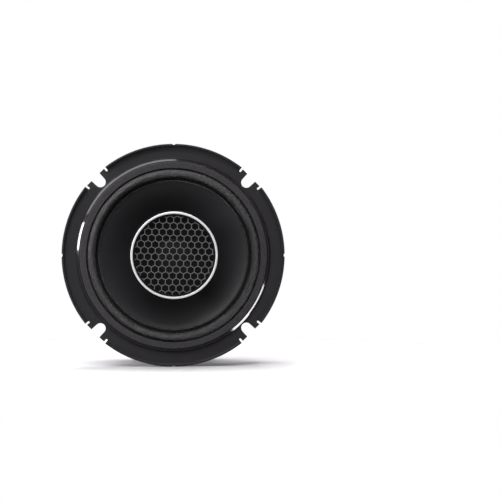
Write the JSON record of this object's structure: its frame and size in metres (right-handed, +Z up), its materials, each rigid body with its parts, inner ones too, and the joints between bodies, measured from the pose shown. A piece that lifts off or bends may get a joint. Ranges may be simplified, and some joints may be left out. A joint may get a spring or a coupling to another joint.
{
  "type": "coaxial car speaker",
  "caption": "Round car door loudspeaker with a slotted steel flange, black cone and a fixed central tweeter behind a hexagonal mesh, with a ring magnet behind.",
  "frame": {"origin": "centre of the flange's rear face, which seats on the door panel", "axes": "+Y points into the door, out of the back of the magnet; the cone faces -Y; +Z up as mounted"},
  "size_m": [0.1648, 0.0932, 0.1648],
  "materials": {
    "black_coat": "satin black powder coat, fine orange peel",
    "black_rubber": "matt black rubber, fine grain",
    "black_cone": "satin black cone, faint fibre grain",
    "black_plastic": "satin black moulded plastic",
    "charcoal_ferrite": "charcoal painted ferrite, slightly rough",
    "zinc": "bright zinc plate",
    "silver": "polished aluminium",
    "grey_mesh": "dark grey coated steel mesh",
    "red_brown_cloth": "red-brown woven cloth, resin treated",
    "brown_paper": "brown film",
    "copper": "copper wire",
    "tinned_wire": "tinned copper",
    "fibre_board": "dark fibre board",
    "silk": "dark coated silk"
  },
  "bodies": {
    "basket": {"basket": "black_coat", "gasket_ring": "black_rubber", "surround": "black_rubber", "capacitor_seal": "black_rubber", "tweeter_housing": "black_plastic", "tweeter_faceplate": "black_plastic", "tweeter_post": "black_plastic", "capacitor_sleeve": "black_plastic", "capacitor_bracket": "black_plastic", "magnet": "charcoal_ferrite", "tweeter_magnet": "charcoal_ferrite", "top_plate": "zinc", "t_yoke": "zinc", "tweeter_back_cup": "zinc", "tweeter_pole_piece": "zinc", "tweeter_post_screw": "zinc", "tweeter_post_nut": "zinc", "terminal_board_rivet": "zinc", "basket_rivet_1": "zinc", "basket_rivet_2": "zinc", "basket_rivet_3": "zinc", "basket_rivet_4": "zinc", "tweeter_bezel": "silver", "capacitor_can": "silver", "tweeter_grille": "grey_mesh", "spider": "red_brown_cloth", "tinsel_lead_positive": "copper", "tinsel_lead_negative": "copper", "tweeter_lead_left": "tinned_wire", "tweeter_lead_right": "tinned_wire", "capacitor_lead_input": "tinned_wire", "capacitor_lead_output": "tinned_wire", "terminal_positive": "tinned_wire", "terminal_negative": "tinned_wire", "terminal_tweeter": "tinned_wire", "terminal_board": "fibre_board"},
    "cone": {"cone": "black_cone", "voice_coil_former": "brown_paper", "voice_coil_winding": "copper"},
    "tweeter_dome": {"tweeter_diaphragm": "silk", "tweeter_voice_coil": "copper"}
  },
  "joints": [
    {"name": "cone_slide", "type": "slide", "parent": "basket", "child": "cone", "axis": [0, -1, 0], "range_m": [-0.004, 0.004], "stiffness_N_per_m": 2000, "deforming": ["surround", "spider", "tinsel_lead_positive", "tinsel_lead_negative"]},
    {"name": "tweeter_dome_slide", "type": "slide", "parent": "basket", "child": "tweeter_dome", "axis": [0, -1, 0], "range_m": [-0.0003, 0.0003], "stiffness_N_per_m": 100}
  ]
}
